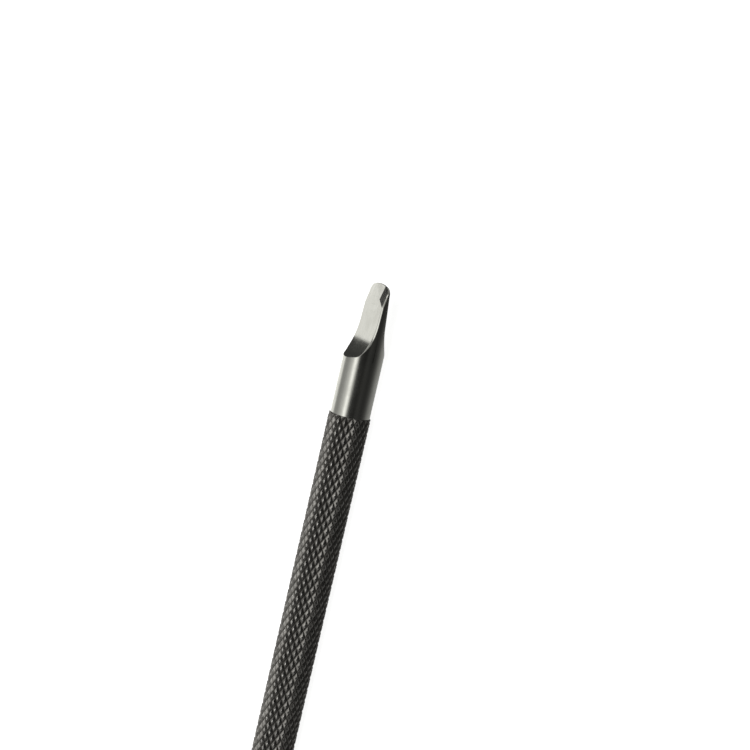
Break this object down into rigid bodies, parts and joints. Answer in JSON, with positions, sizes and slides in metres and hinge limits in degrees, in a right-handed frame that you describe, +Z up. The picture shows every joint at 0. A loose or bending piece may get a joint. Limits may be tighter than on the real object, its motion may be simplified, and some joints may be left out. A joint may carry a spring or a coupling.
{
  "type": "cuticle pusher",
  "caption": "Double-ended steel cuticle pusher: a diamond-knurled tube handle with a flat scooped pusher blade pressed into one mouth and a narrow pointed nail cleaner in the other.",
  "frame": {"origin": "on the surface that the tool lies on, below the middle of its length", "axes": "+X along the tool's axis towards the pusher blade, +Z up, the way the blade's scooped face looks, +Y across the blade"},
  "size_m": [0.1248, 0.006, 0.006],
  "materials": {
    "knurled_steel": "dark satin stainless steel with a rolled 30 degree diamond knurl",
    "ground_steel": "ground and lightly polished stainless steel"
  },
  "bodies": {
    "root": {"knurled_tube": "knurled_steel", "pusher_end": "ground_steel", "cleaner_end": "ground_steel"}
  },
  "joints": []
}
